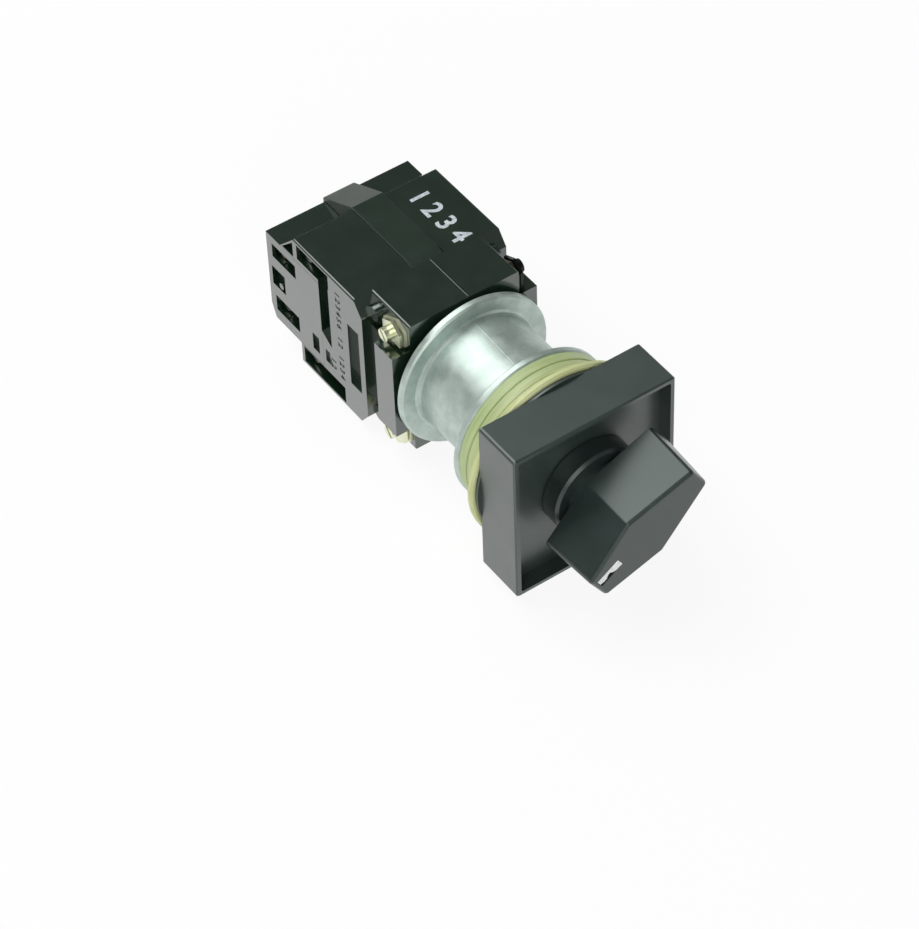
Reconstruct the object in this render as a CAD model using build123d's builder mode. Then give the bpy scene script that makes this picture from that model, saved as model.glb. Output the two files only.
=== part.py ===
import math
import os

from build123d import *

# Panel selector switch, sizes in millimetres.
# X runs across, Y from the knob to the back, Z up. The panel seat lies at y = 0.

# Fits, per side
run_fit = 0.05
press_gap = 0.02
seat_gap = 0.05
slot_gap = 0.08

# Bezel with a round plate on its back
bezel_size = 40.6
bezel_depth = 12.0
bezel_rim = 1.2
bezel_recess = 3.6
back_plate_over = 0.9
back_plate_t = 0.8
spigot_r = 12.2
spigot_wall = 2.8
spigot_end = 8.6

# Gaskets: a wide one behind the bezel, then three narrow ones
wide_gasket_over = 1.0
wide_gasket_t = 1.7
gasket_layer = 2.5
gasket_count = 3
gasket_insets = (0.2, 0.4, 0.2)
gasket_bore_gap = 0.3

# Knob: a six-sided lever, wider at the back than at the front
lever_angle = 213.4
lever_tail = 16.5
lever_tail_half = 3.4
lever_tip = 14.3
lever_tip_half = 3.8
lever_waist = 8.2
lever_draft = 0.65
lever_flare = 1.1
lever_front = -39.0
lever_depth = 14.3
lever_to_skirt = 1.3
knob_neck_r = 8.0
skirt_r = 11.0

# Pointer slot, along and across the lever
slot_middle = (10.1, -1.15)
slot_size = (6.2, 2.2)
slot_depth = 1.0

# Shaft and seal
shaft_r = 4.0
shaft_in_knob = 5.0
seal_wire = 0.85
seal_pocket_t = 2.3

# Cam rotor, detent and turning stops
turn = 66.8
rotor_gap = 0.15
rotor_rim_t = 3.85
cam_r = 7.6
cam_rise = 7.25
cam_tilt = 20.0
cam_clear = 0.43
lug_angle = 40.0
lug_depth = 2.5
lug_wall = 2.3
stop_play = 0.6
screw_shank_r = 1.25
screw_head_r = 2.6
screw_head_t = 1.35
ball_r = 1.2
ball_back = 2.25
detent_turns = 4

# Collar
flange_front_r = 19.1
flange_front_t = 1.7
neck_r = 14.6
flange_rear_r = 18.85
flange_rear_t = 1.9
wall_to_flange = 1.4
hub_r = 12.0
hub_t = 1.3
screw_hole_depth = 3.8

# Push rods
rod_r = 1.75
rod_orbit = 6.0
rod_travel = 2.4
rod_gap = 0.15
carrier_half_x = 2.6
carrier_half_z = 2.5
carrier_mid_z = 6.5

# Contact housing: half sizes, then how far each step reaches
half_w = 18.6
half_h = 18.3
wall = 2.0
notch_in = 4.6
groove_in = 2.6
chamber_wall = 1.8
ear_drop = 6.8
ear_length = 6.6
groove_length = 11.0
boss_r = 1.8
boss_drop = 3.3
panel_w = 4.1
panel_h = 17.8
front_slope = 2.9
front_slope_drop = 3.8
middle_length = 22.7
rear_slope = 5.8
rear_drop = 5.9

# Rear block, held by side plates that reach over the housing
rear_length = 11.4
rear_wall = 2.8
plate_reach = 9.0
plate_t = 1.5

# Contacts and terminal strips
strip_t = 0.7
tip_t = 0.5
tip_r = 1.4
tip_to_wall = 4.4
bridge_over = 1.6
bridge_t = 0.8
bridge_half_z = 1.5
contact_gap = 0.3
front_strip_back = 7.8
middle_strip_back = 12.2
rear_strip_back = 6.6

# Screws and clamps
front_shank_r = 1.1
front_head_r = 1.6
front_head_t = 1.7
small_shank_r = 0.9
small_head_r = 1.65
small_head_t = 1.2
long_screw_inset = 2.5
long_screw_r = 1.5
long_head_r = 2.8
long_head_t = 1.68
screw_play = 0.2
clamp_t = 0.7
clamp_low = 5.7
clamp_length = 7.1
rotor_screw_depth = 4.4
wire_gap = 0.45

# Return springs
spring_r = 1.7
spring_wire = 0.45
spring_turns = 3

# Places along Y, from the bezel to the back
wide_gasket_back = -gasket_layer * gasket_count
wide_gasket_front = wide_gasket_back - wide_gasket_t
bezel_back = wide_gasket_front - back_plate_t
bezel_front = bezel_back - bezel_depth
recess_floor = bezel_front + bezel_recess
skirt_back = recess_floor - 0.3
lever_back = lever_front + lever_depth
skirt_front = lever_back + lever_to_skirt
shaft_front = lever_front + shaft_in_knob
rotor_front = spigot_end + rotor_gap
rotor_rim_end = rotor_front + rotor_rim_t
shaft_end = rotor_front + 2.65
screw_seat = shaft_end + 1.5
shaft_bore_end = shaft_end - rotor_screw_depth - 0.6
ball_y = rotor_front + ball_back
cam_slope = math.tan(math.radians(cam_tilt))
cam_mean_y = rotor_front + cam_rise
collar_wall_y = cam_mean_y + cam_r * cam_slope + cam_clear
flange_rear_y = collar_wall_y + wall_to_flange
flange_rear_back = flange_rear_y + flange_rear_t
block_front = flange_rear_back + hub_t
ear_back = block_front + ear_length
mid_front = block_front + groove_length
notch_back = mid_front + front_slope
mid_back = notch_back + middle_length
slope_back = mid_back + rear_slope
rear_back = mid_back + rear_length
rear_wall_y = rear_back - rear_wall
plate_front = mid_back - plate_reach
channel_front = notch_back + 0.4
front_strip_y = block_front + front_strip_back
middle_strip_y = mid_back - middle_strip_back
rear_strip_y = mid_back + rear_strip_back
carrier_front = block_front + 2.4
carrier_back = mid_back + 3.6

# Places along X and Z
back_plate_r = bezel_size / 2 + back_plate_over
wide_gasket_r = back_plate_r + wide_gasket_over
gasket_bore_r = spigot_r + gasket_bore_gap
lug_in_r = spigot_r - lug_wall
lug_out_r = spigot_r - 0.2
collar_bore_r = spigot_r + run_fit
rotor_r = collar_bore_r - 2 * run_fit
ball_orbit = collar_bore_r - ball_r - 0.08
notch_x = half_w - notch_in
groove_x = half_w - groove_in
chamber_x = notch_x - chamber_wall
tip_x = chamber_x - tip_to_wall
bridge_half_x = tip_x + bridge_over
long_screw_x = hub_r - long_screw_inset
ear_z = half_h - ear_drop
mid_cut_z = half_h - front_slope_drop
rear_half_h = half_h - rear_drop
channel_z = half_h - 0.9
strap_top = half_h + 0.2
front_points = ((block_front + 4.6, half_h - 3.7), (block_front + 4.6, 3.7 - half_h))
middle_points = ((mid_back - 3.2, half_h - 3.0), (mid_back - 3.2, 3.3 - half_h))
rear_points = ((mid_back + 7.2, rear_half_h - 4.0), (mid_back + 7.2, 5.1 - rear_half_h))
terminal_rows = (
    (front_points, front_shank_r), (middle_points, small_shank_r), (rear_points, small_shank_r),
)


def across(y, turned=0.0):
    """Plane across the switch. Local x is X, local y is Z, and an extrusion runs to the front."""
    a = math.radians(turned)
    return Plane(origin=(0, y, 0), x_dir=(math.cos(a), 0, math.sin(a)), z_dir=(0, -1, 0))


def coil(start, end, radius, turns, sides=10):
    """Corner points of a wire coil: along its axis, then the two directions across it."""
    steps = turns * sides
    angles = [2 * math.pi * i / sides for i in range(steps + 1)]
    along = [start + (end - start) * i / steps for i in range(steps + 1)]
    return [(a, radius * math.cos(t), radius * math.sin(t)) for a, t in zip(along, angles)]


seal_pocket_r = shaft_r + seal_pocket_t

# Bezel: square body with a sunk face, round back plate, spigot and turning stop
with BuildPart() as bezel:
    with BuildSketch(across(bezel_back)):
        RectangleRounded(bezel_size, bezel_size, 0.8)
    extrude(amount=bezel_depth)
    front_edges = bezel.edges().group_by(Axis.Y)[0]
    chamfer(front_edges, length=0.35)
    with BuildSketch(across(recess_floor)):
        RectangleRounded(bezel_size - 2 * bezel_rim, bezel_size - 2 * bezel_rim, 0.6)
    extrude(amount=bezel_recess + 1, mode=Mode.SUBTRACT)
    with BuildSketch(across(wide_gasket_front)):
        Circle(back_plate_r)
    extrude(amount=back_plate_t + 0.1)
    with BuildSketch(Plane.XY):
        with BuildLine():
            Polyline(
                (0, recess_floor + 6), (spigot_r, recess_floor + 6), (spigot_r, spigot_end - 0.5),
                (spigot_r - 0.5, spigot_end), (0, spigot_end), close=True,
            )
        make_face()
    revolve(axis=Axis.Y)
    # turning stop on the end of the spigot
    with BuildSketch(across(spigot_end + lug_depth)):
        with BuildLine():
            lug_in = CenterArc((0, 0), lug_in_r, -lug_angle / 2, lug_angle)
            lug_out = CenterArc((0, 0), lug_out_r, -lug_angle / 2, lug_angle)
            Line(lug_in @ 0, lug_out @ 0)
            Line(lug_in @ 1, lug_out @ 1)
        make_face()
    extrude(amount=lug_depth + 0.5)
    # bearing bore, seal pocket and the hollow of the spigot
    with BuildSketch(Plane.XY):
        with BuildLine():
            Polyline(
                (0, recess_floor - 1), (seal_pocket_r, recess_floor - 1),
                (seal_pocket_r, recess_floor + seal_pocket_t),
                (shaft_r + run_fit, recess_floor + seal_pocket_t), (shaft_r + run_fit, -2.0),
                (spigot_r - spigot_wall, -2.0), (spigot_r - spigot_wall, spigot_end + 1),
                (0, spigot_end + 1), close=True,
            )
        make_face()
    revolve(axis=Axis.Y, mode=Mode.SUBTRACT)

# Wide gasket behind the bezel, with a rounded edge
with BuildPart() as wide_gasket:
    with BuildSketch(across(wide_gasket_back)):
        Circle(wide_gasket_r)
        Circle(gasket_bore_r, mode=Mode.SUBTRACT)
    extrude(amount=wide_gasket_t)
    chamfer(wide_gasket.edges().filter_by(GeomType.CIRCLE).sort_by(SortBy.RADIUS)[-2:], 0.45)

# Three narrow gaskets
with BuildPart() as round_gasket_front:
    with BuildSketch(across(wide_gasket_back + gasket_layer)):
        Circle(flange_front_r - gasket_insets[0])
        Circle(gasket_bore_r, mode=Mode.SUBTRACT)
    extrude(amount=gasket_layer)
    chamfer(round_gasket_front.edges().filter_by(GeomType.CIRCLE).sort_by(SortBy.RADIUS)[-2:], 0.2)

with BuildPart() as round_gasket_middle:
    with BuildSketch(across(wide_gasket_back + 2 * gasket_layer)):
        Circle(flange_front_r - gasket_insets[1])
        Circle(gasket_bore_r, mode=Mode.SUBTRACT)
    extrude(amount=gasket_layer)
    chamfer(round_gasket_middle.edges().filter_by(GeomType.CIRCLE).sort_by(SortBy.RADIUS)[-2:], 0.2)

with BuildPart() as round_gasket_rear:
    with BuildSketch(across(0)):
        Circle(flange_front_r - gasket_insets[2])
        Circle(gasket_bore_r, mode=Mode.SUBTRACT)
    extrude(amount=gasket_layer)
    chamfer(round_gasket_rear.edges().filter_by(GeomType.CIRCLE).sort_by(SortBy.RADIUS)[-2:], 0.2)

# Collar: die-cast body between two flanges, with a closed rear wall
with BuildPart() as collar:
    with BuildSketch(Plane.XY):
        with BuildLine():
            Polyline(
                (collar_bore_r, 0), (flange_front_r - 0.3, 0), (flange_front_r, 0.3),
                (flange_front_r, flange_front_t - 0.3), (flange_front_r - 0.3, flange_front_t),
                (neck_r, flange_front_t), (neck_r, flange_rear_y - 0.9),
                (neck_r + 0.3, flange_rear_y - 0.3), (neck_r + 0.9, flange_rear_y),
                (flange_rear_r - 0.4, flange_rear_y), (flange_rear_r, flange_rear_y + 0.4),
                (flange_rear_r, flange_rear_back - 0.3), (flange_rear_r - 0.3, flange_rear_back),
                (hub_r, flange_rear_back), (hub_r, block_front), (0, block_front),
                (0, collar_wall_y), (collar_bore_r, collar_wall_y), close=True,
            )
        make_face()
    revolve(axis=Axis.Y)
    # guides of the push rods
    with BuildSketch(across(block_front)):
        with Locations((0, rod_orbit), (0, -rod_orbit)):
            Circle(rod_r + run_fit)
    extrude(amount=block_front - collar_wall_y, mode=Mode.SUBTRACT)
    # threaded holes of the long screws
    with BuildSketch(across(block_front)):
        with Locations((long_screw_x, 0), (-long_screw_x, 0)):
            Circle(long_screw_r + seat_gap)
    extrude(amount=screw_hole_depth, mode=Mode.SUBTRACT)

# Knob: six-sided lever on a neck and skirt
with BuildPart() as knob:
    with BuildSketch(across(lever_back, lever_angle)):
        Polygon(
            (lever_tip + lever_draft, -lever_tip_half - lever_flare / 2),
            (lever_tip + lever_draft, lever_tip_half + lever_flare / 2), (0, lever_waist),
            (-lever_tail - lever_draft, lever_tail_half + lever_flare),
            (-lever_tail - lever_draft, -lever_tail_half - lever_flare), (0, -lever_waist),
            align=None,
        )
    with BuildSketch(across(lever_front, lever_angle)):
        Polygon(
            (lever_tip, -lever_tip_half), (lever_tip, lever_tip_half), (0, lever_waist),
            (-lever_tail, lever_tail_half), (-lever_tail, -lever_tail_half), (0, -lever_waist),
            align=None,
        )
    loft(ruled=True)
    upright = knob.edges().filter_by(
        lambda e: abs(e.center().Y - (lever_front + lever_back) / 2) < 0.1 * lever_depth
    )
    fillet(upright, radius=1.1)
    fillet(knob.edges().group_by(Axis.Y)[0], radius=0.9)
    with BuildSketch(Plane.XY):
        with BuildLine():
            Polyline(
                (0, lever_back - 1), (knob_neck_r, lever_back - 1), (knob_neck_r, skirt_front),
                (skirt_r - 0.6, skirt_front), (skirt_r, skirt_front + 0.6), (skirt_r, skirt_back),
                (0, skirt_back), close=True,
            )
        make_face()
    revolve(axis=Axis.Y)
    # bore for the shaft
    with BuildSketch(across(skirt_back)):
        Circle(shaft_r + press_gap)
    extrude(amount=skirt_back - shaft_front + 0.1, mode=Mode.SUBTRACT)
    # slot of the pointer filling
    with BuildSketch(across(lever_front + slot_depth, lever_angle)):
        with Locations(slot_middle):
            Rectangle(*slot_size)
    extrude(amount=slot_depth + 1, mode=Mode.SUBTRACT)

# Pointer: what is left of the white filling, straight above and worn below
fill_0 = slot_middle[0] - slot_size[0] / 2 + seat_gap
fill_1 = slot_middle[0] + slot_size[0] / 2 - seat_gap
fill_top = slot_middle[1] - slot_size[1] / 2 + seat_gap
fill_low = slot_middle[1] + slot_size[1] / 2 - seat_gap
with BuildPart() as pointer:
    with BuildSketch(across(lever_front + slot_depth, lever_angle)):
        Polygon(
            (fill_0, fill_top), (fill_1, fill_top), (fill_1, fill_low - 0.8),
            (fill_1 - 0.9, fill_low - 0.5), (fill_1 - 1.8, fill_low - 0.6),
            (fill_1 - 2.5, fill_low - 1.1), (fill_1 - 3.1, fill_low - 1.2),
            (fill_1 - 3.5, fill_low - 0.6), (fill_1 - 4.2, fill_low - 0.1),
            (fill_0, fill_low), align=None,
        )
    extrude(amount=slot_depth)

# Shaft from the knob to the rotor
with BuildPart() as shaft:
    with BuildSketch(Plane.XY):
        with BuildLine():
            Polyline(
                (0, shaft_front), (shaft_r - 0.4, shaft_front), (shaft_r, shaft_front + 0.4),
                (shaft_r, shaft_end - 0.3), (shaft_r - 0.3, shaft_end),
                (screw_shank_r + seat_gap, shaft_end), (screw_shank_r + seat_gap, shaft_bore_end),
                (0, shaft_bore_end), close=True,
            )
        make_face()
    revolve(axis=Axis.Y)

# Shaft seal in the pocket under the skirt
with BuildPart() as shaft_seal:
    with BuildSketch(Plane.XY):
        with Locations((shaft_r + seal_pocket_t / 2, recess_floor + seal_pocket_t / 2)):
            RegularPolygon(seal_wire, 8)
    revolve(axis=Axis.Y)

# Cam rotor: rim with a stop window, and a boss with a slanting rear face
cut_reach = rotor_r + 2
pocket_in = shaft_r + 1.4
with BuildPart() as cam_rotor:
    with BuildSketch(across(rotor_rim_end)):
        Circle(rotor_r)
    extrude(amount=rotor_rim_end - rotor_front)
    with BuildSketch(across(cam_mean_y + cam_r)):
        Circle(cam_r)
    extrude(amount=cam_mean_y + cam_r - rotor_front)
    # the slanting face is highest along the rest direction of the pointer
    with BuildSketch(Plane.XY):
        with BuildLine():
            Polyline(
                (-cut_reach, cam_mean_y - cut_reach * cam_slope),
                (cut_reach, cam_mean_y + cut_reach * cam_slope),
                (cut_reach, cam_mean_y + 25), (-cut_reach, cam_mean_y + 25), close=True,
            )
        make_face()
    wedge = extrude(amount=cut_reach, both=True, mode=Mode.PRIVATE)
    add(wedge.rotate(Axis.Y, -lever_angle), mode=Mode.SUBTRACT)
    # window that meets the stop on the spigot at each end of the turn
    window = lug_angle + turn + 2 * stop_play
    with BuildSketch(across(spigot_end + lug_depth + 0.2)):
        with BuildLine():
            start = -lug_angle / 2 - stop_play
            win_in = CenterArc((0, 0), lug_in_r - 0.2, start, window)
            win_out = CenterArc((0, 0), rotor_r + 1, start, window)
            Line(win_in @ 0, win_out @ 0)
            Line(win_in @ 1, win_out @ 1)
        make_face()
    extrude(amount=lug_depth + 2, mode=Mode.SUBTRACT)
    # bore for the shaft and seat of the rotor screw
    with BuildSketch(Plane.XY):
        with BuildLine():
            Polyline(
                (0, 0), (shaft_r + press_gap, 0), (shaft_r + press_gap, shaft_end + seat_gap),
                (screw_shank_r + seat_gap, shaft_end + seat_gap),
                (screw_shank_r + seat_gap, screw_seat), (screw_head_r + 0.3, screw_seat),
                (screw_head_r + 0.3, cam_mean_y + 14), (0, cam_mean_y + 14), close=True,
            )
        make_face()
    revolve(axis=Axis.Y, mode=Mode.SUBTRACT)
    # pocket of the detent spring and ball
    with BuildSketch(Plane.YZ.offset(-rotor_r - 1)):
        with Locations((ball_y, 0)):
            Circle(ball_r + 0.1)
    extrude(amount=rotor_r + 1 - pocket_in, mode=Mode.SUBTRACT)

# Screw that holds the rotor on the shaft
screw_back = screw_seat + seat_gap + screw_head_t
with BuildPart() as rotor_screw:
    with BuildSketch(Plane.XY):
        with BuildLine():
            Polyline(
                (0, shaft_end - rotor_screw_depth), (screw_shank_r, shaft_end - rotor_screw_depth),
                (screw_shank_r, screw_seat + seat_gap), (screw_head_r, screw_seat + seat_gap),
                (screw_head_r, screw_back - 0.4), (screw_head_r - 0.4, screw_back),
                (0, screw_back), close=True,
            )
        make_face()
    revolve(axis=Axis.Y)
    with BuildSketch(across(screw_back + 0.5)):
        Rectangle(2 * screw_head_r + 1, 0.7)
    extrude(amount=1.2, mode=Mode.SUBTRACT)

# Detent ball and its spring
with BuildPart() as detent_ball:
    with Locations((-ball_orbit, ball_y, 0)):
        Sphere(ball_r)

detent_wire = 0.35
detent_points = coil(
    -(pocket_in + detent_wire), -(ball_orbit - ball_r - detent_wire), ball_r - 0.35, detent_turns,
)
with BuildPart() as detent_spring:
    with BuildLine() as detent_coil:
        Polyline(*[(a, ball_y + b, c) for a, b, c in detent_points])
    with BuildSketch(Plane(origin=detent_coil.line @ 0, z_dir=detent_coil.line % 0)):
        Rectangle(detent_wire, detent_wire)
    sweep(transition=Transition.RIGHT)



def oblong(y0, y1, z0, z1):
    """Corners of a plain plate, as y and z."""
    return ((y0, z0), (y0, z1), (y1, z1), (y1, z0))


# Terminal rows: tongue y, upper and lower plate outlines, tongue heights, side of the tip
front_outline = (
    (block_front + 0.8, half_h - 6.0), (block_front + 0.8, half_h - 2.1),
    (block_front + 3.6, half_h - 0.3), (front_strip_y + strip_t, half_h - 2.7),
    (front_strip_y + strip_t, half_h - 6.0),
)
middle_upper = oblong(middle_strip_y, mid_back - 1.4, half_h - 4.7, half_h - 1.3)
middle_lower = oblong(middle_strip_y, mid_back - 1.4, half_h - 5.1, half_h - 1.4)
rear_upper = oblong(mid_back + 0.6, mid_back + 9.2, rear_half_h - 5.8, rear_half_h - 2.2)
rear_lower = oblong(mid_back + 0.6, mid_back + 9.2, rear_half_h - 7.0, rear_half_h - 3.2)
tongue_top = half_h - wall - 0.3
rows = (
    (front_strip_y, front_outline, front_outline, half_h - 3.1, half_h - 3.1, 1),
    (middle_strip_y, middle_upper, middle_lower, tongue_top, tongue_top, -1),
    (rear_strip_y, rear_upper, rear_lower, rear_half_h - 2.6, rear_half_h - 3.6, 1),
)
plate_in = notch_x + seat_gap
clamp_x = plate_in + strip_t + wire_gap
tongue_low = carrier_mid_z - bridge_half_z
tongue_mid_x = (chamber_x + notch_x) / 2

# Slots that let the tongues of the strips through the walls
with BuildPart() as tongue_slots:
    for strip_y, upper, lower, tongue_up, tongue_down, tip_side in rows:
        for side in (1, -1):
            for tongue_z, up in ((tongue_up, 1), (tongue_down, -1)):
                z_mid = up * (tongue_z + tongue_low) / 2
                with Locations((side * tongue_mid_x, strip_y + strip_t / 2, z_mid)):
                    Box(chamber_wall + 0.8, strip_t + 0.1, tongue_z - tongue_low + 0.1)

# Screw holes of all twelve terminals
with BuildPart() as screw_holes:
    for points, shank_r in terminal_rows:
        for side in (1, -1):
            with BuildSketch(Plane.YZ.offset(side * (chamber_x + 0.3))):
                with Locations(*points):
                    Circle(shank_r + seat_gap)
            extrude(amount=side * 5)

# Latch strap, across the switch
strap_left = -3.2
strap_width = 8.1

# Contact housing: cut-away front corners, groove, wide middle and a top slope
with BuildPart() as contact_housing:
    with BuildSketch(across(notch_back)):
        Rectangle(2 * notch_x, 2 * half_h)
    extrude(amount=notch_back - block_front)
    with BuildSketch(across(notch_back)):
        Rectangle(2 * groove_x, 2 * ear_z)
    extrude(amount=notch_back - block_front)
    with BuildSketch(across(ear_back)):
        Rectangle(2 * half_w, 2 * ear_z)
    extrude(amount=ear_back - block_front)
    with BuildSketch(Plane.YZ):
        Polygon(
            (mid_front, -mid_cut_z), (notch_back, -half_h), (mid_back, -half_h),
            (mid_back, rear_half_h), (slope_back, rear_half_h), (mid_back, half_h),
            (notch_back, half_h), (mid_front, mid_cut_z), align=None,
        )
    extrude(amount=half_w, both=True)
    fillet(contact_housing.edges().filter_by(Axis.Y).filter_by(
        lambda e: abs(e.center().Z) > half_h - 0.1 and abs(e.center().X) > notch_x - 1), radius=0.5)
    # round bosses behind the front terminals
    with BuildSketch(Plane.YZ.offset(-groove_x + 0.1)):
        with Locations(
            (mid_front - 0.3, half_h - boss_drop), (mid_front - 0.3, boss_drop - half_h),
        ):
            Circle(boss_r)
    extrude(amount=2 * groove_x - 0.2)
    # chamber of the contacts
    with BuildSketch(across(mid_back - wall)):
        Rectangle(2 * chamber_x, 2 * (half_h - wall))
    extrude(amount=mid_back - wall - block_front - wall, mode=Mode.SUBTRACT)
    # holes of the long screws, right through, and guides of the push rods
    with BuildSketch(across(mid_back + 1)):
        with Locations((long_screw_x, 0), (-long_screw_x, 0)):
            Circle(long_screw_r + screw_play)
    extrude(amount=mid_back - block_front + 2, mode=Mode.SUBTRACT)
    with BuildSketch(across(mid_back + 1)):
        for side in (1, -1):
            with Locations((0, side * carrier_mid_z)):
                Rectangle(2 * (carrier_half_x + slot_gap), 2 * (carrier_half_z + slot_gap))
    extrude(amount=wall + 2, mode=Mode.SUBTRACT)
    with BuildSketch(across(block_front + wall + 1)):
        with Locations((0, rod_orbit), (0, -rod_orbit)):
            Circle(rod_r + 0.4)
    extrude(amount=wall + 2, mode=Mode.SUBTRACT)
    # channel of the top latch
    with BuildSketch(Plane.YZ.offset(strap_left - seat_gap)):
        Polygon(
            (channel_front - seat_gap, channel_z - seat_gap), (mid_back - 0.4, channel_z - seat_gap),
            (mid_back + 4.5, rear_half_h), (mid_back + 9.6, rear_half_h),
            (mid_back + 9.6, half_h + 6), (channel_front - seat_gap, half_h + 6), align=None,
        )
    extrude(amount=strap_width + 2 * seat_gap, mode=Mode.SUBTRACT)
    for side in (1, -1):
        face = Plane.YZ.offset(side * half_w)
        # seat of the rear block's side plates
        with BuildSketch(face):
            with Locations(((plate_front - seat_gap + mid_back) / 2 + 0.5, 0)):
                Rectangle(mid_back - plate_front + seat_gap + 1, 2 * rear_half_h + 2 * seat_gap)
        extrude(amount=-side * (plate_t + seat_gap), mode=Mode.SUBTRACT)
        # windows of the middle terminals
        with BuildSketch(face):
            with Locations((mid_back - 7.0, half_h - 2.8)):
                Rectangle(12.0, 4.0)
            with Locations((mid_back - 9.0, 3.3 - half_h)):
                Rectangle(16.0, 4.6)
        extrude(amount=-side * (half_w - notch_x), mode=Mode.SUBTRACT)
        # long slot in front of the side plate, with a slanting lower end
        with BuildSketch(face):
            Polygon(
                (plate_front - 3.7, half_h - 2.8), (plate_front, half_h - 2.8),
                (plate_front, -1.6), (plate_front - 3.7, -4.0), align=None,
            )
        extrude(amount=-side * 2.6, mode=Mode.SUBTRACT)
        # sunk panel and shallow dash
        with BuildSketch(face):
            with Locations((notch_back + 0.95, 0)):
                Rectangle(panel_w, panel_h)
        extrude(amount=-side * 1.4, mode=Mode.SUBTRACT)
        with BuildSketch(face):
            with Locations((plate_front - 2.2, 3.4 - ear_z)):
                Rectangle(2.4, 3.6)
        extrude(amount=-side * 0.5, mode=Mode.SUBTRACT)
        # hollow at the side of the top slope
        with BuildSketch(face):
            Polygon(
                (mid_back + 0.5, half_h - 1.2), (mid_back + 0.5, rear_half_h + 0.5),
                (mid_back + 4.9, rear_half_h + 0.5), align=None,
            )
        extrude(amount=-side * 1.2, mode=Mode.SUBTRACT)
    add(tongue_slots.part, mode=Mode.SUBTRACT)
    add(screw_holes.part, mode=Mode.SUBTRACT)

# Rear block: narrower moulding whose side plates reach over the housing
with BuildPart() as rear_block:
    with BuildSketch(Plane.YZ):
        Polygon(
            (mid_back + seat_gap, -rear_half_h), (rear_back - 1.5, -rear_half_h),
            (rear_back, 3.5 - rear_half_h), (rear_back, rear_half_h - seat_gap),
            (mid_back + seat_gap, rear_half_h - seat_gap), align=None,
        )
    extrude(amount=half_w, both=True)
    with BuildSketch(Plane.YZ):
        with Locations(((plate_front + mid_back) / 2 + 1, 0)):
            Rectangle(mid_back - plate_front + 2, 2 * rear_half_h - 2 * seat_gap)
    extrude(amount=half_w, both=True)
    with BuildSketch(across(mid_back + seat_gap)):
        Rectangle(2 * (half_w - plate_t), 3 * half_h)
    extrude(amount=plate_reach + 3, mode=Mode.SUBTRACT)
    with BuildSketch(across(rear_wall_y)):
        Rectangle(2 * chamber_x, 2 * (rear_half_h - 1.5))
    extrude(amount=rear_wall_y - mid_back + 1, mode=Mode.SUBTRACT)
    # holes of the long screws, right through and counterbored
    with BuildSketch(across(rear_back)):
        with Locations((long_screw_x, 0), (-long_screw_x, 0)):
            Circle(long_screw_r + screw_play)
    extrude(amount=rear_back - mid_back, mode=Mode.SUBTRACT)
    with BuildSketch(across(rear_back + 1)):
        with Locations((long_screw_x, 0), (-long_screw_x, 0)):
            Circle(long_head_r + screw_play)
    extrude(amount=long_head_t + 0.72, mode=Mode.SUBTRACT)
    for side in (1, -1):
        face = Plane.YZ.offset(side * half_w)
        # windows of the rear terminals
        with BuildSketch(face):
            with Locations((mid_back + 4.75, rear_half_h - 4.0)):
                Rectangle(9.1, 3.8)
            with Locations((mid_back + 4.75, 5.1 - rear_half_h)):
                Rectangle(9.1, 4.4)
        extrude(amount=-side * (half_w - notch_x), mode=Mode.SUBTRACT)
        # pocket with a peg, and the small pocket of the side plate
        with BuildSketch(face):
            with Locations((rear_back - 3.9, 0.65)):
                Rectangle(5.0, 5.3)
            with Locations((rear_back - 4.8, -0.6)):
                Circle(0.8, mode=Mode.SUBTRACT)
        extrude(amount=-side * 2.2, mode=Mode.SUBTRACT)
        with BuildSketch(face):
            with Locations((plate_front + 2.75, 4.75 - rear_half_h)):
                Rectangle(2.5, 4.7)
        extrude(amount=-side * 1.0, mode=Mode.SUBTRACT)
    add(tongue_slots.part, mode=Mode.SUBTRACT)
    add(screw_holes.part, mode=Mode.SUBTRACT)

# Latch strap over the top, with a hook behind the rear block
with BuildPart() as latch_strap:
    with BuildSketch(Plane.YZ.offset(strap_left)):
        Polygon(
            (channel_front, channel_z), (mid_back - 0.43, channel_z),
            (mid_back + 4.5, rear_half_h + seat_gap), (rear_back + seat_gap, rear_half_h + seat_gap),
            (rear_back + seat_gap, rear_half_h - 1.6), (rear_back + 0.7, rear_half_h - 1.6),
            (rear_back + 0.7, rear_half_h + 0.6), (mid_back + 0.6, strap_top),
            (channel_front + 2.3, strap_top), (channel_front, channel_z + 0.5), align=None,
        )
    extrude(amount=strap_width)

# Push rods: the upper one starts at the front end of its travel, the lower one at the rear end
tip_mid_y = cam_mean_y + rod_r / math.cos(math.radians(cam_tilt)) + rod_gap
tip_y = tip_mid_y - rod_travel / 2
bridge_front_ys = (front_strip_y - tip_t - contact_gap - tip_t - bridge_t - rod_travel,
                   rear_strip_y - tip_t - contact_gap - tip_t - bridge_t - rod_travel)
bridge_middle_y = middle_strip_y + strip_t + tip_t + contact_gap + tip_t
bridge_ys = (bridge_front_ys[0], bridge_middle_y, bridge_front_ys[1])

with BuildPart() as push_rod_upper:
    with BuildSketch(across(carrier_back)):
        with Locations((0, carrier_mid_z)):
            Rectangle(2 * carrier_half_x, 2 * carrier_half_z)
    extrude(amount=carrier_back - carrier_front)
    with BuildSketch(across(carrier_front + 0.5)):
        with Locations((0, rod_orbit)):
            Circle(rod_r)
    extrude(amount=carrier_front + 0.5 - tip_y)
    with Locations((0, tip_y, rod_orbit)):
        Sphere(rod_r)
    for y in bridge_ys:
        with Locations((0, y + bridge_t / 2, carrier_mid_z)):
            Box(4 * carrier_half_x, bridge_t + 0.1, 2 * bridge_half_z + 0.1, mode=Mode.SUBTRACT)

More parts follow.
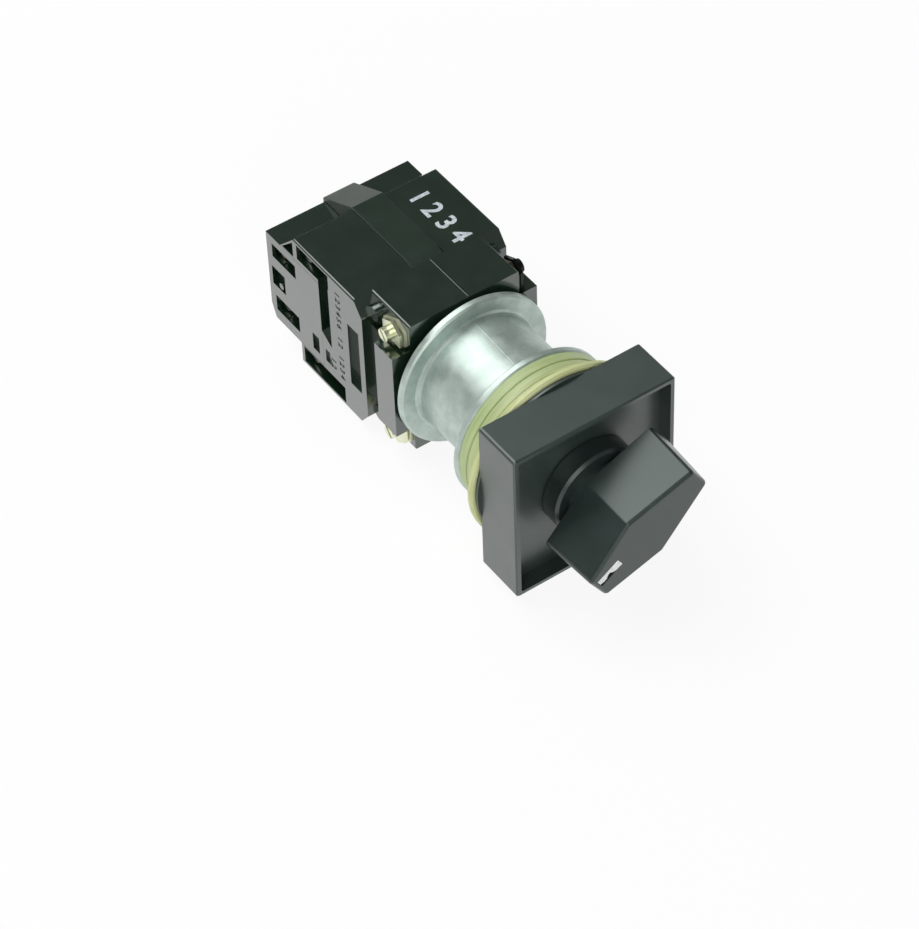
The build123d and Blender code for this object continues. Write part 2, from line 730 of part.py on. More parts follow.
with BuildPart() as push_rod_lower:
    add(push_rod_upper.part.mirror(Plane.XY).move(Location((0, rod_travel, 0))))

# Contact bridges with their tips
with BuildPart() as bridges_upper:
    for y, back in zip(bridge_ys, (1, -1, 1)):
        with Locations((0, y + bridge_t / 2, carrier_mid_z)):
            Box(2 * bridge_half_x, bridge_t, 2 * bridge_half_z)
        tip_start = y + bridge_t if back > 0 else y
        with BuildSketch(across(tip_start)):
            with Locations((tip_x, carrier_mid_z), (-tip_x, carrier_mid_z)):
                Circle(tip_r)
        extrude(amount=-back * tip_t)

with BuildPart() as bridges_lower:
    add(bridges_upper.part.mirror(Plane.XY).move(Location((0, rod_travel, 0))))

# Return springs between the carriers and the rear wall
spring_to = rear_wall_y - spring_wire / 2 - 0.1
spring_from = carrier_back + spring_wire / 2 + 0.1
upper_points = coil(spring_from, spring_to, spring_r, spring_turns)
lower_points = coil(spring_from + rod_travel, spring_to, spring_r, spring_turns)
with BuildPart() as return_spring_upper:
    with BuildLine() as upper_coil:
        Polyline(*[(b, a, carrier_mid_z + c) for a, b, c in upper_points])
    wire_plane = Plane(origin=upper_coil.line @ 0, x_dir=(0, 1, 0), z_dir=upper_coil.line % 0)
    with BuildSketch(wire_plane):
        Rectangle(spring_wire, spring_wire)
    sweep(transition=Transition.RIGHT)

with BuildPart() as return_spring_lower:
    with BuildLine() as lower_coil:
        Polyline(*[(b, a, c - carrier_mid_z) for a, b, c in lower_points])
    wire_plane = Plane(origin=lower_coil.line @ 0, x_dir=(0, 1, 0), z_dir=lower_coil.line % 0)
    with BuildSketch(wire_plane):
        Rectangle(spring_wire, spring_wire)
    sweep(transition=Transition.RIGHT)

# Terminal strips: plate in the window, tongue through the wall, tip at the bridge
tongue_in_x = tip_x - 1.6
tongue_step_x = tip_x + 3.0
tongue_neck_z = carrier_mid_z + bridge_half_z
with BuildPart() as terminal_strips:
    for strip_y, upper, lower, tongue_up, tongue_down, tip_side in rows:
        for side in (1, -1):
            for outline, tongue_z, up in ((upper, tongue_up, 1), (lower, tongue_down, -1)):
                with BuildSketch(Plane.YZ.offset(side * plate_in)):
                    Polygon(*[(y, up * z) for y, z in outline], align=None)
                extrude(amount=side * strip_t)
                with BuildSketch(across(strip_y + strip_t)):
                    Polygon(
                        (side * tongue_in_x, up * tongue_low),
                        (side * (plate_in + 0.1), up * tongue_low),
                        (side * (plate_in + 0.1), up * tongue_z),
                        (side * tongue_step_x, up * tongue_z),
                        (side * tongue_step_x, up * tongue_neck_z),
                        (side * tongue_in_x, up * tongue_neck_z), align=None,
                    )
                extrude(amount=strip_t)
                tip_plane = across(strip_y if tip_side > 0 else strip_y + strip_t)
                with BuildSketch(tip_plane):
                    with Locations((side * tip_x, up * carrier_mid_z)):
                        Circle(tip_r)
                extrude(amount=tip_side * tip_t)
    add(screw_holes.part, mode=Mode.SUBTRACT)

# Clamp plates under the screw heads: the front ones are pointed, the others square
clamp_back = block_front + clamp_length
clamp_outline = (
    (block_front + 1.0, half_h - clamp_low), (block_front + 1.0, half_h - 0.4 * clamp_low),
    (block_front + 0.55 * clamp_length, half_h - 0.2), (clamp_back, half_h - 0.3 * clamp_low),
    (clamp_back, half_h - clamp_low),
)
with BuildPart() as clamp_plates_front:
    for side in (1, -1):
        for up in (1, -1):
            with BuildSketch(Plane.YZ.offset(side * clamp_x)):
                Polygon(*[(y, up * z) for y, z in clamp_outline], align=None)
            extrude(amount=side * clamp_t)
    add(screw_holes.part, mode=Mode.SUBTRACT)

with BuildPart() as clamp_plates_small:
    for points in (middle_points, rear_points):
        for side in (1, -1):
            with BuildSketch(Plane.YZ.offset(side * clamp_x)):
                with Locations(*points):
                    Rectangle(2 * small_head_r - 0.1, 2 * small_head_r - 0.1)
            extrude(amount=side * clamp_t)
    add(screw_holes.part, mode=Mode.SUBTRACT)

# Slotted terminal screws, heads outward
head_x = clamp_x + clamp_t + 0.02
shank_x = chamber_x + 0.4
with BuildPart() as terminal_screws_front:
    for side in (1, -1):
        with BuildSketch(Plane.YZ.offset(side * shank_x)):
            with Locations(*front_points):
                Circle(front_shank_r)
        extrude(amount=side * (head_x - shank_x + 0.1))
        with BuildSketch(Plane.YZ.offset(side * head_x)):
            with Locations(*front_points):
                Circle(front_head_r)
        extrude(amount=side * front_head_t)
        with BuildSketch(Plane.YZ.offset(side * (head_x + front_head_t - 0.7))):
            with Locations(*front_points):
                Rectangle(2 * front_head_r + 1, 0.6, rotation=51)
        extrude(amount=side * 2, mode=Mode.SUBTRACT)

with BuildPart() as terminal_screws_middle:
    for side in (1, -1):
        with BuildSketch(Plane.YZ.offset(side * shank_x)):
            with Locations(*middle_points):
                Circle(small_shank_r)
        extrude(amount=side * (head_x - shank_x + 0.1))
        with BuildSketch(Plane.YZ.offset(side * head_x)):
            with Locations(*middle_points):
                Circle(small_head_r)
        extrude(amount=side * small_head_t)
        with BuildSketch(Plane.YZ.offset(side * (head_x + small_head_t - 0.5))):
            with Locations(*middle_points):
                Rectangle(2 * small_head_r + 1, 0.5, rotation=-35)
        extrude(amount=side * 2, mode=Mode.SUBTRACT)

with BuildPart() as terminal_screws_rear:
    for side in (1, -1):
        with BuildSketch(Plane.YZ.offset(side * shank_x)):
            with Locations(*rear_points):
                Circle(small_shank_r)
        extrude(amount=side * (head_x - shank_x + 0.1))
        with BuildSketch(Plane.YZ.offset(side * head_x)):
            with Locations(*rear_points):
                Circle(small_head_r)
        extrude(amount=side * small_head_t)
        with BuildSketch(Plane.YZ.offset(side * (head_x + small_head_t - 0.5))):
            with Locations(*rear_points):
                Rectangle(2 * small_head_r + 1, 0.5, rotation=50)
        extrude(amount=side * 2, mode=Mode.SUBTRACT)

# Long screws that hold the block to the collar
long_head_back = rear_back + 0.3
with BuildPart() as long_screws:
    with BuildSketch(across(long_head_back - long_head_t + 0.1)):
        with Locations((long_screw_x, 0), (-long_screw_x, 0)):
            Circle(long_screw_r)
    extrude(amount=long_head_back - long_head_t + 0.1 - block_front + screw_hole_depth - 0.3)
    with BuildSketch(across(long_head_back)):
        with Locations((long_screw_x, 0), (-long_screw_x, 0)):
            Circle(long_head_r)
    extrude(amount=long_head_t)
    with BuildSketch(across(long_head_back + 0.7)):
        with Locations((long_screw_x, 0), (-long_screw_x, 0)):
            Rectangle(2 * long_head_r + 1.4, 0.8)
    extrude(amount=1.4, mode=Mode.SUBTRACT)

os.makedirs("parts", exist_ok=True)
bezel.part.label = "bezel"
export_step(bezel.part, "parts/bezel.step")
wide_gasket.part.label = "wide_gasket"
export_step(wide_gasket.part, "parts/wide_gasket.step")
round_gasket_front.part.label = "round_gasket_front"
export_step(round_gasket_front.part, "parts/round_gasket_front.step")
round_gasket_middle.part.label = "round_gasket_middle"
export_step(round_gasket_middle.part, "parts/round_gasket_middle.step")
round_gasket_rear.part.label = "round_gasket_rear"
export_step(round_gasket_rear.part, "parts/round_gasket_rear.step")
collar.part.label = "collar"
export_step(collar.part, "parts/collar.step")
knob.part.label = "knob"
export_step(knob.part, "parts/knob.step")
pointer.part.label = "pointer"
export_step(pointer.part, "parts/pointer.step")
shaft.part.label = "shaft"
export_step(shaft.part, "parts/shaft.step")
shaft_seal.part.label = "shaft_seal"
export_step(shaft_seal.part, "parts/shaft_seal.step")
cam_rotor.part.label = "cam_rotor"
export_step(cam_rotor.part, "parts/cam_rotor.step")
rotor_screw.part.label = "rotor_screw"
export_step(rotor_screw.part, "parts/rotor_screw.step")
detent_ball.part.label = "detent_ball"
export_step(detent_ball.part, "parts/detent_ball.step")
detent_spring.part.label = "detent_spring"
export_step(detent_spring.part, "parts/detent_spring.step")
contact_housing.part.label = "contact_housing"
export_step(contact_housing.part, "parts/contact_housing.step")
rear_block.part.label = "rear_block"
export_step(rear_block.part, "parts/rear_block.step")
latch_strap.part.label = "latch_strap"
export_step(latch_strap.part, "parts/latch_strap.step")
push_rod_upper.part.label = "push_rod_upper"
export_step(push_rod_upper.part, "parts/push_rod_upper.step")
push_rod_lower.part.label = "push_rod_lower"
export_step(push_rod_lower.part, "parts/push_rod_lower.step")
bridges_upper.part.label = "bridges_upper"
export_step(bridges_upper.part, "parts/bridges_upper.step")
bridges_lower.part.label = "bridges_lower"
export_step(bridges_lower.part, "parts/bridges_lower.step")
return_spring_upper.part.label = "return_spring_upper"
export_step(return_spring_upper.part, "parts/return_spring_upper.step")
return_spring_lower.part.label = "return_spring_lower"
export_step(return_spring_lower.part, "parts/return_spring_lower.step")
terminal_strips.part.label = "terminal_strips"
export_step(terminal_strips.part, "parts/terminal_strips.step")
clamp_plates_front.part.label = "clamp_plates_front"
export_step(clamp_plates_front.part, "parts/clamp_plates_front.step")
clamp_plates_small.part.label = "clamp_plates_small"
export_step(clamp_plates_small.part, "parts/clamp_plates_small.step")
terminal_screws_front.part.label = "terminal_screws_front"
export_step(terminal_screws_front.part, "parts/terminal_screws_front.step")
terminal_screws_middle.part.label = "terminal_screws_middle"
export_step(terminal_screws_middle.part, "parts/terminal_screws_middle.step")
terminal_screws_rear.part.label = "terminal_screws_rear"
export_step(terminal_screws_rear.part, "parts/terminal_screws_rear.step")
long_screws.part.label = "long_screws"
export_step(long_screws.part, "parts/long_screws.step")
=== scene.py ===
import math

import bpy
import numpy as np
from bpy.props import FloatProperty, FloatVectorProperty, PointerProperty
from mathutils import Matrix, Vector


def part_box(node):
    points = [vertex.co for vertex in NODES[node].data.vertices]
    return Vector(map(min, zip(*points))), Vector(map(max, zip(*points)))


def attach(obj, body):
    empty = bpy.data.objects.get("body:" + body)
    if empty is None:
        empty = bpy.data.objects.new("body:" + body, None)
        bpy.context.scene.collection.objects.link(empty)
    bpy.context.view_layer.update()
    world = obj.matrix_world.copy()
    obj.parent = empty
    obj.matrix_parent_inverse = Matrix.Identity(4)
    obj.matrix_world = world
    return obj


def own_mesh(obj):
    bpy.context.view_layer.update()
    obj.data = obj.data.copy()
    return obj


bl_info = {
    "name": "Panel selector switch",
    "version": (1, 0, 0),
    "blender": (4, 5, 0),
    "location": "3D View > Sidebar > Switch",
    "description": "Finishes and small trim of a panel selector switch with a contact block",
    "category": "Object",
}

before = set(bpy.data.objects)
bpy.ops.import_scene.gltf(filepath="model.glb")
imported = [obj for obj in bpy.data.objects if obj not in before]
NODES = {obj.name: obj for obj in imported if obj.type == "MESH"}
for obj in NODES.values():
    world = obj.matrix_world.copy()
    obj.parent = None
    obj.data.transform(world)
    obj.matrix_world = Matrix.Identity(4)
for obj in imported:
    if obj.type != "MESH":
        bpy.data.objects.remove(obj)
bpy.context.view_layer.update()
MM = 0.001

# The camera fitted to the photograph: pixels, millimetres and degrees
PHOTO_HEIGHT = 929.0
FOCAL_LENGTH = 3680.05
CAMERA_PLACE = (-304.57, -433.49, 553.48)
CAMERA_AZIMUTH = -33.41
CAMERA_ELEVATION = 46.81
CAMERA_ROLL = -2.46
FILM_HEIGHT = 36.0

# Places on the switch, in metres and degrees
TINT_START_Y = -0.0095
# behind this Y the strips get painted shade, as they sit in the side windows
BEHIND_FRONT_ROW_Y = 0.040
NECK_R = 0.0146
NECK_SPAN = (0.0022, 0.0196)
NECK_SEAM_ANGLES = (92.6, 90.3)
NECK_SEAM_HEIGHT = 0.00007
TOP_LINE_X = 0.0013
TOP_LINE_HEIGHT = 0.00004
TOP_LINE_GAPS = (0.0003, 0.0002)

# The figures, in metres: places, thicknesses, and how far below the surface the middle of the
# thickness lies; each raised column has the Y and Z of its middle, and its text
PRINT_MIDDLE = (0.0103, 0.0477)
PRINT_THICKNESS = 0.00006
PRINT_SUNK = 0.00001
RELIEF_COLUMNS = ((0.0441, 0.0024, "123456 12 1234"), (0.0474, -0.0084, "12"))
RELIEF_THICKNESS = 0.00016
RELIEF_SUNK = 0.00006

# Shares of a figure's height: its step in a raised column, and what its strokes gain all round
RELIEF_STEP = 1.12
STROKE_GAIN = 0.03
# The height of a figure as a share of the font's size
FONT_SHARE = 0.7

# Softened edges: the weld distance in metres, and the degrees from which an edge is sharp
WELD_DISTANCE = 0.000002
SHARP_ANGLE = 40.0

# The stage, in metres; each lamp has a name, a place, a size and a power in watts
FLOOR_HALF = 3.0
FLOOR_GAP = 0.00005
LAMPS_AIM = (0.0, 0.02, 0.0)
LAMPS = (
    ("Key lamp", (-0.23, 0.60, 1.10), 1.15, 13.2),
    ("Front lamp", (-0.55, -0.80, 0.65), 0.9, 6.0),
)
# The room's light falls from the walls to the ceiling, between two heights on a unit sphere
ROOM_HEIGHTS = (0.15, 0.75)
ROOM_LIGHT = (0.30, 0.11)


class SwitchColours(bpy.types.PropertyGroup):
    """Colours of the finishes"""

    block_black: FloatVectorProperty(
        name="Block black", description="Moulded contact block", subtype="COLOR",
        size=3, default=(0.0042, 0.0135, 0.0066), min=0.0, max=1.0,
    )
    bezel_black: FloatVectorProperty(
        name="Bezel black", description="Moulded bezel", subtype="COLOR",
        size=3, default=(0.021, 0.033, 0.028), min=0.0, max=1.0,
    )
    knob_black: FloatVectorProperty(
        name="Knob black", description="Moulded lever", subtype="COLOR",
        size=3, default=(0.011, 0.018, 0.016), min=0.0, max=1.0,
    )
    gasket: FloatVectorProperty(
        name="Gasket", description="Pale green seals", subtype="COLOR",
        size=3, default=(0.47, 0.60, 0.32), min=0.0, max=1.0,
    )
    zinc: FloatVectorProperty(
        name="Zinc", description="Die-cast collar", subtype="COLOR",
        size=3, default=(0.45, 0.52, 0.485), min=0.0, max=1.0,
    )
    chromate: FloatVectorProperty(
        name="Chromate", description="Yellow plated screws and clamps", subtype="COLOR",
        size=3, default=(0.93, 0.96, 0.70), min=0.0, max=1.0,
    )
    paint: FloatVectorProperty(
        name="Paint", description="White filling of the lever", subtype="COLOR",
        size=3, default=(0.96, 0.98, 0.98), min=0.0, max=1.0,
    )
    print_white: FloatVectorProperty(
        name="Print", description="Printed figures on the block", subtype="COLOR",
        size=3, default=(0.62, 0.70, 0.74), min=0.0, max=1.0,
    )


class SwitchSizes(bpy.types.PropertyGroup):
    """Sizes of the trim and the edges, and the white of the floor"""

    seam_width: FloatProperty(
        name="Seam width", description="Width of the mould lines",
        default=0.00028, subtype="DISTANCE", unit="LENGTH",
    )
    figure_height: FloatProperty(
        name="Figure height", description="Height of the printed figures on the block",
        default=0.0046, subtype="DISTANCE", unit="LENGTH",
    )
    figure_pitch: FloatProperty(
        name="Figure pitch", description="Step from one printed figure to the next",
        default=0.00505, subtype="DISTANCE", unit="LENGTH",
    )
    floor_white: FloatProperty(
        name="Floor white", description="Share of plain white in the floor as seen",
        default=0.90, min=0.0, max=1.0, subtype="FACTOR",
    )
    relief_height: FloatProperty(
        name="Relief height", description="Height of the raised figures on the block's side",
        default=0.0017, subtype="DISTANCE", unit="LENGTH",
    )
    edge_width: FloatProperty(
        name="Edge width", description="Width of the bevel on the block's and strap's edges",
        default=0.00011, subtype="DISTANCE", unit="LENGTH",
    )


# Shared shader groups


def new_group(name, inputs, outputs):
    """An empty shader group, its start and its end, with number inputs and outputs."""
    group = bpy.data.node_groups.new(name, "ShaderNodeTree")
    kind = "NodeSocketFloat"
    for label, value in inputs.items():
        socket = group.interface.new_socket(label, in_out="INPUT", socket_type=kind)
        socket.default_value = value
    for label in outputs:
        group.interface.new_socket(label, in_out="OUTPUT", socket_type=kind)
    start = group.nodes.new("NodeGroupInput")
    end = group.nodes.new("NodeGroupOutput")
    return group, start, end


def noise(group, place, scale, detail, roughness=0.5):
    """The value from 0 to 1 of a noise texture in a group, at a place and a scale."""
    node = group.nodes.new("ShaderNodeTexNoise")
    node.inputs["Detail"].default_value = detail
    node.inputs["Roughness"].default_value = roughness
    group.links.new(place, node.inputs["Vector"])
    group.links.new(scale, node.inputs["Scale"])
    return node.outputs["Fac"]


def moulded_grain(name):
    """Fine pits and slow mottling of moulded plastic: a mask from 0 to 1 and a height."""
    group, start, end = new_group(
        name, {"Grain Scale": 2500.0, "Mottle Scale": 160.0}, ("Mottle", "Height"),
    )
    place = group.nodes.new("ShaderNodeTexCoord").outputs["Object"]
    mottle = noise(group, place, start.outputs["Mottle Scale"], 5.0)
    grain = noise(group, place, start.outputs["Grain Scale"], 2.0)
    group.links.new(mottle, end.inputs["Mottle"])
    group.links.new(grain, end.inputs["Height"])
    return group


def cast_skin(name):
    """Cloudy oxide and small dents of a metal skin: a mask from 0 to 1 and a height."""
    group, start, end = new_group(
        name, {"Cloud Scale": 140.0, "Dent Scale": 900.0}, ("Cloud", "Height"),
    )
    place = group.nodes.new("ShaderNodeTexCoord").outputs["Object"]
    cloud = noise(group, place, start.outputs["Cloud Scale"], 7.0, 0.62)
    dent = noise(group, place, start.outputs["Dent Scale"], 3.0)
    group.links.new(cloud, end.inputs["Cloud"])
    group.links.new(dent, end.inputs["Height"])
    return group


def seal_layers(name):
    """Fine streaks round the axis, as on die-cut sheet, and a depth from 0 in front to 1 behind.

    The streaks are a noise of (x round scale, y streak scale, z round scale).
    """
    group, start, end = new_group(
        name, {"Streak Scale": 1500.0, "Round Scale": 90.0}, ("Streak", "Depth"),
    )
    nodes, links = group.nodes, group.links
    place = nodes.new("ShaderNodeTexCoord")
    apart = nodes.new("ShaderNodeSeparateXYZ")
    together = nodes.new("ShaderNodeCombineXYZ")
    links.new(place.outputs["Object"], apart.inputs["Vector"])
    for axis, scale in (("X", "Round Scale"), ("Y", "Streak Scale"), ("Z", "Round Scale")):
        product = nodes.new("ShaderNodeMath")
        product.operation = "MULTIPLY"
        links.new(apart.outputs[axis], product.inputs[0])
        links.new(start.outputs[scale], product.inputs[1])
        links.new(product.outputs["Value"], together.inputs[axis])
    streak = nodes.new("ShaderNodeTexNoise")
    streak.inputs["Scale"].default_value = 1.0
    streak.inputs["Detail"].default_value = 4.0
    links.new(together.outputs["Vector"], streak.inputs["Vector"])
    depth = nodes.new("ShaderNodeMapRange")
    depth.inputs["From Min"].default_value = TINT_START_Y
    depth.inputs["From Max"].default_value = 0.0
    links.new(apart.outputs["Y"], depth.inputs["Value"])
    links.new(streak.outputs["Fac"], end.inputs["Streak"])
    links.new(depth.outputs["Result"], end.inputs["Depth"])
    return group


def beyond_plane(name):
    """Two masks from the place for painted shade: 1 on the right-hand side, and 1 behind the front
    terminals.
    """
    group, start, end = new_group(
        name, {"X Limit": 0.0, "Y Limit": BEHIND_FRONT_ROW_Y}, ("Right", "Behind"),
    )
    nodes, links = group.nodes, group.links
    place = nodes.new("ShaderNodeTexCoord")
    apart = nodes.new("ShaderNodeSeparateXYZ")
    links.new(place.outputs["Object"], apart.inputs["Vector"])
    for axis, side in (("X", "Right"), ("Y", "Behind")):
        beyond = nodes.new("ShaderNodeMath")
        beyond.operation = "GREATER_THAN"
        links.new(apart.outputs[axis], beyond.inputs[0])
        links.new(start.outputs[f"{axis} Limit"], beyond.inputs[1])
        links.new(beyond.outputs["Value"], end.inputs[side])
    return group


def shared(name, build):
    """The shared group of that name, made on first use."""
    return bpy.data.node_groups.get(name) or build(name)


def new_material(name, roughness, metallic=0.0):
    """A material with a Principled BSDF, and its node tree."""
    material = bpy.data.materials.new(name)
    material.use_nodes = True
    tree = material.node_tree
    shader = tree.nodes["Principled BSDF"]
    shader.inputs["Roughness"].default_value = roughness
    shader.inputs["Metallic"].default_value = metallic
    return material, tree, shader


def place_group(tree, group, **values):
    """The group as a node of the tree, with its inputs set."""
    node = tree.nodes.new("ShaderNodeGroup")
    node.node_tree = group
    for label, value in values.items():
        node.inputs[label.replace("_", " ")].default_value = value
    return node


def two_colours(tree, mask, low, high):
    """Mixes two colours by a mask and gives the result socket."""
    mix = tree.nodes.new("ShaderNodeMix")
    mix.data_type = "RGBA"
    mix.inputs["A"].default_value = (*low, 1.0)
    mix.inputs["B"].default_value = (*high, 1.0)
    tree.links.new(mask, mix.inputs["Factor"])
    return mix.outputs["Result"]


def masked(tree, mask, colour, other):
    """A colour socket, with another colour where the mask is 1."""
    mix = tree.nodes.new("ShaderNodeMix")
    mix.data_type = "RGBA"
    mix.inputs["B"].default_value = (*other, 1.0)
    tree.links.new(mask, mix.inputs["Factor"])
    tree.links.new(colour, mix.inputs["A"])
    return mix.outputs["Result"]


def either(tree, *masks):
    """The larger of several masks."""
    result = masks[0]
    for mask in masks[1:]:
        larger = tree.nodes.new("ShaderNodeMath")
        larger.operation = "MAXIMUM"
        tree.links.new(result, larger.inputs[0])
        tree.links.new(mask, larger.inputs[1])
        result = larger.outputs["Value"]
    return result


def span(tree, value, low, high):
    """Maps a 0 to 1 value to low to high."""
    node = tree.nodes.new("ShaderNodeMapRange")
    node.inputs["To Min"].default_value = low
    node.inputs["To Max"].default_value = high
    tree.links.new(value, node.inputs["Value"])
    return node.outputs["Result"]


def bump(tree, shader, height, strength, depth):
    """Height to the shader's normal."""
    node = tree.nodes.new("ShaderNodeBump")
    node.inputs["Strength"].default_value = strength
    node.inputs["Distance"].default_value = depth
    tree.links.new(height, node.inputs["Height"])
    tree.links.new(node.outputs["Normal"], shader.inputs["Normal"])


def black_plastic(name, colour, lift, roughness, shine, skin):
    """Moulded black plastic: mottled colour, fine grain and a polished skin."""
    material, tree, shader = new_material(name, roughness)
    shader.inputs["Specular IOR Level"].default_value = shine
    shader.inputs["Specular Tint"].default_value = (0.84, 1.0, 0.94, 1.0)
    shader.inputs["Coat Weight"].default_value = skin
    shader.inputs["Coat IOR"].default_value = 1.7
    shader.inputs["Coat Roughness"].default_value = roughness * 0.8
    grain = place_group(tree, shared("Moulded grain", moulded_grain))
    paler = (colour[0] * lift, colour[1] * lift * 0.94, colour[2] * lift)
    base = two_colours(tree, grain.outputs["Mottle"], colour, paler)
    tree.links.new(base, shader.inputs["Base Color"])
    rough = span(tree, grain.outputs["Mottle"], roughness - 0.08, roughness + 0.10)
    tree.links.new(rough, shader.inputs["Roughness"])
    bump(tree, shader, grain.outputs["Height"], 0.12, 0.00004)
    return material


def mottled(name, roughness, low, high, **values):
    """A dull material whose colour drifts between two with the mottling of moulded plastic."""
    material, tree, shader = new_material(name, roughness)
    grain = place_group(tree, shared("Moulded grain", moulded_grain), **values)
    colour = two_colours(tree, grain.outputs["Mottle"], low, high)
    tree.links.new(colour, shader.inputs["Base Color"])
    return material


def clouded_metal(name, low, high, roughness, metallic, scale):
    """A metal whose colour drifts between two with the clouds of its skin."""
    material, tree, shader = new_material(name, roughness, metallic)
    skin = place_group(tree, shared("Cast skin", cast_skin), Cloud_Scale=scale)
    colour = two_colours(tree, skin.outputs["Cloud"], low, high)
    tree.links.new(colour, shader.inputs["Base Color"])
    return material


def paint_shade_on(material, painted_shade, *sides):
    """Paints shade on a metal: a darker colour on the named sides, Right, Behind or both."""
    tree = material.node_tree
    base = tree.nodes["Principled BSDF"].inputs["Base Color"]
    colour = base.links[0].from_socket
    masks = place_group(tree, shared("Beyond plane", beyond_plane))
    mask = either(tree, *(masks.outputs[side] for side in sides))
    tree.links.new(masked(tree, mask, colour, painted_shade), base)


def coat(material, *names):
    """Gives the CAD nodes that material."""
    for name in names:
        mesh = NODES[name].data
        mesh.materials.clear()
        mesh.materials.append(material)


def soften(width, *names):
    """Welds the triangles of CAD nodes and gives their sharp edges a small bevel."""
    for name in names:
        node = NODES[name]
        weld = node.modifiers.new("Weld", "WELD")
        weld.merge_threshold = WELD_DISTANCE
        edge = node.modifiers.new("Edges", "BEVEL")
        edge.width = width
        edge.segments = 2
        edge.limit_method = "ANGLE"
        edge.angle_limit = math.radians(SHARP_ANGLE)
        edge.use_clamp_overlap = True


def solid_mesh(name, points, faces, material):
    """A new object from points and faces, with its material."""
    mesh = bpy.data.meshes.new(name)
    mesh.from_pydata([tuple(p) for p in points], [], faces)
    mesh.materials.append(material)
    made = bpy.data.objects.new(name, mesh)
    bpy.context.scene.collection.objects.link(made)
    return made


def ridge_section(steps):
    """Points round a ridge's section: across = cos t and height = -sin t, each from -1 to 1."""
    t = np.linspace(0.0, 2.0 * math.pi, steps, endpoint=False)
    return np.cos(t), -np.sin(t)


def ridge_faces(rows, columns):
    """Faces of a closed ridge: four-sided ones between its sections, and one on each end."""
    sides = [
        (
            r * columns + c, r * columns + (c + 1) % columns,
            (r + 1) * columns + (c + 1) % columns, (r + 1) * columns + c,
        )
        for r in range(rows - 1) for c in range(columns)
    ]
    last = (rows - 1) * columns
    return [*sides, tuple(reversed(range(columns))), tuple(range(last, last + columns))]


def flat_figures(name, text, height, pitch, thickness, to_world, material):
    """Figures in a row as one mesh.

    to_world turns a point of the flat row, right, up and height, into a place on the part.
    The height is counted from the middle of the thickness.
    """
    points, faces = [], []
    for index, figure in enumerate(text):
        curve = bpy.data.curves.new(name, "FONT")
        curve.body = figure
        curve.size = height / FONT_SHARE
        curve.align_x = "CENTER"
        curve.align_y = "CENTER"
        curve.extrude = thickness / 2
        curve.offset = height * STROKE_GAIN
        curve.resolution_u = 3
        holder = bpy.data.objects.new(name, curve)
        mesh = bpy.data.meshes.new_from_object(holder)
        shift = (index - (len(text) - 1) / 2) * pitch
        start = len(points)
        points += [to_world(v.co.x + shift, v.co.y, v.co.z) for v in mesh.vertices]
        faces += [[start + i for i in polygon.vertices] for polygon in mesh.polygons]
        bpy.data.objects.remove(holder)
        bpy.data.curves.remove(curve)
        bpy.data.meshes.remove(mesh)
    return solid_mesh(name, points, faces, material)


# Operators


class SWITCH_OT_plastics(bpy.types.Operator):
    """Finishes the mouldings and softens the edges of the block and the strap"""

    bl_idname = "switch.plastics"
    bl_label = "Mouldings"

    def execute(self, context):
        colours = context.scene.switch_colours
        block_black = tuple(colours.block_black)
        bezel_black = tuple(colours.bezel_black)
        knob_black = tuple(colours.knob_black)
        block = black_plastic(
            "Block moulding", block_black, lift=1.8, roughness=0.18, shine=0.5, skin=1.0,
        )
        strap = black_plastic(
            "Strap moulding", block_black, lift=1.8, roughness=0.36, shine=0.32, skin=0.18,
        )
        bezel = black_plastic(
            "Bezel moulding", bezel_black, lift=1.6, roughness=0.40, shine=0.5, skin=0.65,
        )
        lever = black_plastic(
            "Lever moulding", knob_black, lift=2.4, roughness=0.34, shine=0.5, skin=0.3,
        )
        coat(block, "contact_housing", "rear_block")
        coat(strap, "latch_strap")
        coat(bezel, "bezel")
        coat(lever, "knob")
        edge_width = context.scene.switch_sizes.edge_width
        soften(edge_width, "contact_housing", "rear_block", "latch_strap")

        inner = mottled("Inner moulding", 0.5, (0.62, 0.60, 0.52), (0.72, 0.70, 0.62))
        coat(inner, "push_rod_upper", "push_rod_lower", "cam_rotor")
        return {"FINISHED"}


class SWITCH_OT_pointer(bpy.types.Operator):
    """Finishes the worn white filling of the lever"""

    bl_idname = "switch.pointer"
    bl_label = "Pointer"

    def execute(self, context):
        paint = tuple(context.scene.switch_colours.paint)
        duller = tuple(c * 0.86 for c in paint)
        coat(mottled("White filling", 0.6, duller, paint, Mottle_Scale=900.0), "pointer")
        return {"FINISHED"}


